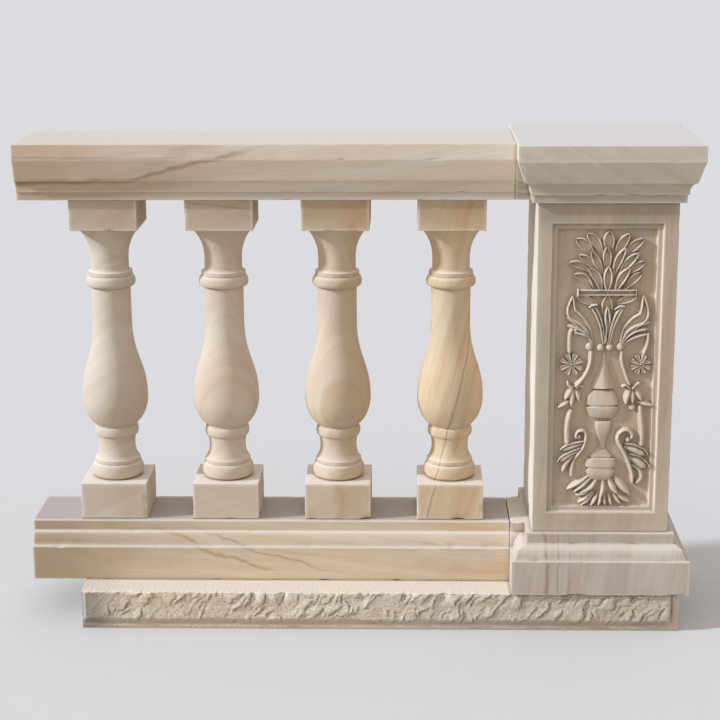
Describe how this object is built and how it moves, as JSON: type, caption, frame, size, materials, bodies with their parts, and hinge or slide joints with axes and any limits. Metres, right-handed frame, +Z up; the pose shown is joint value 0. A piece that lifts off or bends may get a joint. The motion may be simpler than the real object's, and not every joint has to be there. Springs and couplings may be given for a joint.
{
  "type": "stone balustrade",
  "caption": "Sandstone balustrade bay with turned balusters between moulded rails, ending at a pier with sunk panels and a moulded cap, on a rock-faced base course.",
  "frame": {"origin": "on the floor at the middle of the whole length and depth", "axes": "+X along the bay towards the pier, +Y towards the back, +Z up"},
  "size_m": [1.472, 0.392, 1.086],
  "materials": {
    "course_stone": "rock-faced sandstone with dressed margins",
    "rail_stone": "honed sandstone with brown bedding veins",
    "baluster_stone": "turned and rubbed cream sandstone",
    "pier_stone": "rubbed buff sandstone, carved panels"
  },
  "bodies": {
    "root": {"base_course": "course_stone", "bottom_rail": "rail_stone", "baluster_1": "baluster_stone", "baluster_2": "baluster_stone", "baluster_3": "baluster_stone", "baluster_4": "baluster_stone", "top_rail": "rail_stone", "pier_base": "pier_stone", "pier_shaft": "pier_stone", "pier_cap": "pier_stone"}
  },
  "joints": []
}
